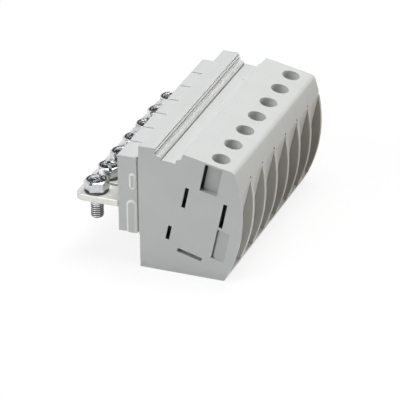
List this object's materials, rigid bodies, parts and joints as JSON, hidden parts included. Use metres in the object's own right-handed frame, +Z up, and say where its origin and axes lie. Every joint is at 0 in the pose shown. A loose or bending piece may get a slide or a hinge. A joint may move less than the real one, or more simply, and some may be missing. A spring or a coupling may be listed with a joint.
{
  "type": "feed-through terminal block",
  "caption": "Row of grey moulded poles with bulged ribbed wire entries, leaning clamp screws in round shafts, and bars through a wall to hexagon-screwed rear tabs.",
  "frame": {"origin": "middle of the footprint at the base: mid-row, mid-depth, on the plane that the block stands on", "axes": "+X along the row, +Y towards the rear tabs (the wires enter from -Y), +Z up"},
  "size_m": [0.105, 0.0804, 0.0602],
  "materials": {
    "housing": "light grey moulded polyamide, fine matt",
    "bar": "tin-plated copper alloy, satin",
    "zinc_steel": "bright zinc plate"
  },
  "bodies": {
    "block": {"housing_1": "housing", "housing_2": "housing", "housing_3": "housing", "housing_4": "housing", "housing_5": "housing", "housing_6": "housing", "housing_7": "housing", "side_cover_1": "housing", "side_cover_2": "housing", "side_cover_3": "housing", "side_cover_4": "housing", "side_cover_5": "housing", "side_cover_6": "housing", "side_cover_7": "housing", "current_bar_1": "bar", "current_bar_2": "bar", "current_bar_3": "bar", "current_bar_4": "bar", "current_bar_5": "bar", "current_bar_6": "bar", "current_bar_7": "bar"},
    "clamp_screw_1": {"clamp_screw_1": "zinc_steel"},
    "clamp_cage_1": {"clamp_cage_1": "zinc_steel"},
    "spring_washer_1": {"spring_washer_1": "zinc_steel"},
    "lug_screw_1": {"lug_screw_1": "zinc_steel"},
    "clamp_screw_2": {"clamp_screw_2": "zinc_steel"},
    "clamp_cage_2": {"clamp_cage_2": "zinc_steel"},
    "spring_washer_2": {"spring_washer_2": "zinc_steel"},
    "lug_screw_2": {"lug_screw_2": "zinc_steel"},
    "clamp_screw_3": {"clamp_screw_3": "zinc_steel"},
    "clamp_cage_3": {"clamp_cage_3": "zinc_steel"},
    "spring_washer_3": {"spring_washer_3": "zinc_steel"},
    "lug_screw_3": {"lug_screw_3": "zinc_steel"},
    "clamp_screw_4": {"clamp_screw_4": "zinc_steel"},
    "clamp_cage_4": {"clamp_cage_4": "zinc_steel"},
    "spring_washer_4": {"spring_washer_4": "zinc_steel"},
    "lug_screw_4": {"lug_screw_4": "zinc_steel"},
    "clamp_screw_5": {"clamp_screw_5": "zinc_steel"},
    "clamp_cage_5": {"clamp_cage_5": "zinc_steel"},
    "spring_washer_5": {"spring_washer_5": "zinc_steel"},
    "lug_screw_5": {"lug_screw_5": "zinc_steel"},
    "clamp_screw_6": {"clamp_screw_6": "zinc_steel"},
    "clamp_cage_6": {"clamp_cage_6": "zinc_steel"},
    "spring_washer_6": {"spring_washer_6": "zinc_steel"},
    "lug_screw_6": {"lug_screw_6": "zinc_steel"},
    "clamp_screw_7": {"clamp_screw_7": "zinc_steel"},
    "clamp_cage_7": {"clamp_cage_7": "zinc_steel"},
    "spring_washer_7": {"spring_washer_7": "zinc_steel"},
    "lug_screw_7": {"lug_screw_7": "zinc_steel"}
  },
  "joints": [
    {"name": "clamp_screw_1_turn", "type": "hinge", "parent": "block", "child": "clamp_screw_1", "pos_m": [-0.045, -0.0203, 0.0219], "axis": [0, 0.2079, -0.9781], "range_deg": [0, 2700]},
    {"name": "clamp_cage_1_lift", "type": "slide", "parent": "block", "child": "clamp_cage_1", "axis": [0, -0.2079, 0.9781], "range_m": [0, 0.0075]},
    {"name": "lug_screw_1_rise", "type": "slide", "parent": "block", "child": "spring_washer_1", "axis": [0, 0, 1], "range_m": [0, 0.008]},
    {"name": "lug_screw_1_turn", "type": "hinge", "parent": "spring_washer_1", "child": "lug_screw_1", "pos_m": [-0.045, 0.032, 0.03048], "axis": [0, 0, 1], "range_deg": [0, 2880]},
    {"name": "clamp_screw_2_turn", "type": "hinge", "parent": "block", "child": "clamp_screw_2", "pos_m": [-0.03, -0.0203, 0.0219], "axis": [0, 0.2079, -0.9781], "range_deg": [0, 2700]},
    {"name": "clamp_cage_2_lift", "type": "slide", "parent": "block", "child": "clamp_cage_2", "axis": [0, -0.2079, 0.9781], "range_m": [0, 0.0075]},
    {"name": "lug_screw_2_rise", "type": "slide", "parent": "block", "child": "spring_washer_2", "axis": [0, 0, 1], "range_m": [0, 0.008]},
    {"name": "lug_screw_2_turn", "type": "hinge", "parent": "spring_washer_2", "child": "lug_screw_2", "pos_m": [-0.03, 0.032, 0.03048], "axis": [0, 0, 1], "range_deg": [0, 2880]},
    {"name": "clamp_screw_3_turn", "type": "hinge", "parent": "block", "child": "clamp_screw_3", "pos_m": [-0.015, -0.0203, 0.0219], "axis": [0, 0.2079, -0.9781], "range_deg": [0, 2700]},
    {"name": "clamp_cage_3_lift", "type": "slide", "parent": "block", "child": "clamp_cage_3", "axis": [0, -0.2079, 0.9781], "range_m": [0, 0.0075]},
    {"name": "lug_screw_3_rise", "type": "slide", "parent": "block", "child": "spring_washer_3", "axis": [0, 0, 1], "range_m": [0, 0.008]},
    {"name": "lug_screw_3_turn", "type": "hinge", "parent": "spring_washer_3", "child": "lug_screw_3", "pos_m": [-0.015, 0.032, 0.03048], "axis": [0, 0, 1], "range_deg": [0, 2880]},
    {"name": "clamp_screw_4_turn", "type": "hinge", "parent": "block", "child": "clamp_screw_4", "pos_m": [0, -0.0203, 0.0219], "axis": [0, 0.2079, -0.9781], "range_deg": [0, 2700]},
    {"name": "clamp_cage_4_lift", "type": "slide", "parent": "block", "child": "clamp_cage_4", "axis": [0, -0.2079, 0.9781], "range_m": [0, 0.0075]},
    {"name": "lug_screw_4_rise", "type": "slide", "parent": "block", "child": "spring_washer_4", "axis": [0, 0, 1], "range_m": [0, 0.008]},
    {"name": "lug_screw_4_turn", "type": "hinge", "parent": "spring_washer_4", "child": "lug_screw_4", "pos_m": [0, 0.032, 0.03048], "axis": [0, 0, 1], "range_deg": [0, 2880]},
    {"name": "clamp_screw_5_turn", "type": "hinge", "parent": "block", "child": "clamp_screw_5", "pos_m": [0.015, -0.0203, 0.0219], "axis": [0, 0.2079, -0.9781], "range_deg": [0, 2700]},
    {"name": "clamp_cage_5_lift", "type": "slide", "parent": "block", "child": "clamp_cage_5", "axis": [0, -0.2079, 0.9781], "range_m": [0, 0.0075]},
    {"name": "lug_screw_5_rise", "type": "slide", "parent": "block", "child": "spring_washer_5", "axis": [0, 0, 1], "range_m": [0, 0.008]},
    {"name": "lug_screw_5_turn", "type": "hinge", "parent": "spring_washer_5", "child": "lug_screw_5", "pos_m": [0.015, 0.032, 0.03048], "axis": [0, 0, 1], "range_deg": [0, 2880]},
    {"name": "clamp_screw_6_turn", "type": "hinge", "parent": "block", "child": "clamp_screw_6", "pos_m": [0.03, -0.0203, 0.0219], "axis": [0, 0.2079, -0.9781], "range_deg": [0, 2700]},
    {"name": "clamp_cage_6_lift", "type": "slide", "parent": "block", "child": "clamp_cage_6", "axis": [0, -0.2079, 0.9781], "range_m": [0, 0.0075]},
    {"name": "lug_screw_6_rise", "type": "slide", "parent": "block", "child": "spring_washer_6", "axis": [0, 0, 1], "range_m": [0, 0.008]},
    {"name": "lug_screw_6_turn", "type": "hinge", "parent": "spring_washer_6", "child": "lug_screw_6", "pos_m": [0.03, 0.032, 0.03048], "axis": [0, 0, 1], "range_deg": [0, 2880]},
    {"name": "clamp_screw_7_turn", "type": "hinge", "parent": "block", "child": "clamp_screw_7", "pos_m": [0.045, -0.0203, 0.0219], "axis": [0, 0.2079, -0.9781], "range_deg": [0, 2700]},
    {"name": "clamp_cage_7_lift", "type": "slide", "parent": "block", "child": "clamp_cage_7", "axis": [0, -0.2079, 0.9781], "range_m": [0, 0.0075]},
    {"name": "lug_screw_7_rise", "type": "slide", "parent": "block", "child": "spring_washer_7", "axis": [0, 0, 1], "range_m": [0, 0.008]},
    {"name": "lug_screw_7_turn", "type": "hinge", "parent": "spring_washer_7", "child": "lug_screw_7", "pos_m": [0.045, 0.032, 0.03048], "axis": [0, 0, 1], "range_deg": [0, 2880]}
  ],
  "couplings": [
    {"joint": "clamp_screw_1_turn", "follows": "clamp_cage_1_lift", "rad_per_m": 6283.2},
    {"joint": "lug_screw_1_turn", "follows": "lug_screw_1_rise", "rad_per_m": 6283.2},
    {"joint": "clamp_screw_2_turn", "follows": "clamp_cage_2_lift", "rad_per_m": 6283.2},
    {"joint": "lug_screw_2_turn", "follows": "lug_screw_2_rise", "rad_per_m": 6283.2},
    {"joint": "clamp_screw_3_turn", "follows": "clamp_cage_3_lift", "rad_per_m": 6283.2},
    {"joint": "lug_screw_3_turn", "follows": "lug_screw_3_rise", "rad_per_m": 6283.2},
    {"joint": "clamp_screw_4_turn", "follows": "clamp_cage_4_lift", "rad_per_m": 6283.2},
    {"joint": "lug_screw_4_turn", "follows": "lug_screw_4_rise", "rad_per_m": 6283.2},
    {"joint": "clamp_screw_5_turn", "follows": "clamp_cage_5_lift", "rad_per_m": 6283.2},
    {"joint": "lug_screw_5_turn", "follows": "lug_screw_5_rise", "rad_per_m": 6283.2},
    {"joint": "clamp_screw_6_turn", "follows": "clamp_cage_6_lift", "rad_per_m": 6283.2},
    {"joint": "lug_screw_6_turn", "follows": "lug_screw_6_rise", "rad_per_m": 6283.2},
    {"joint": "clamp_screw_7_turn", "follows": "clamp_cage_7_lift", "rad_per_m": 6283.2},
    {"joint": "lug_screw_7_turn", "follows": "lug_screw_7_rise", "rad_per_m": 6283.2}
  ]
}
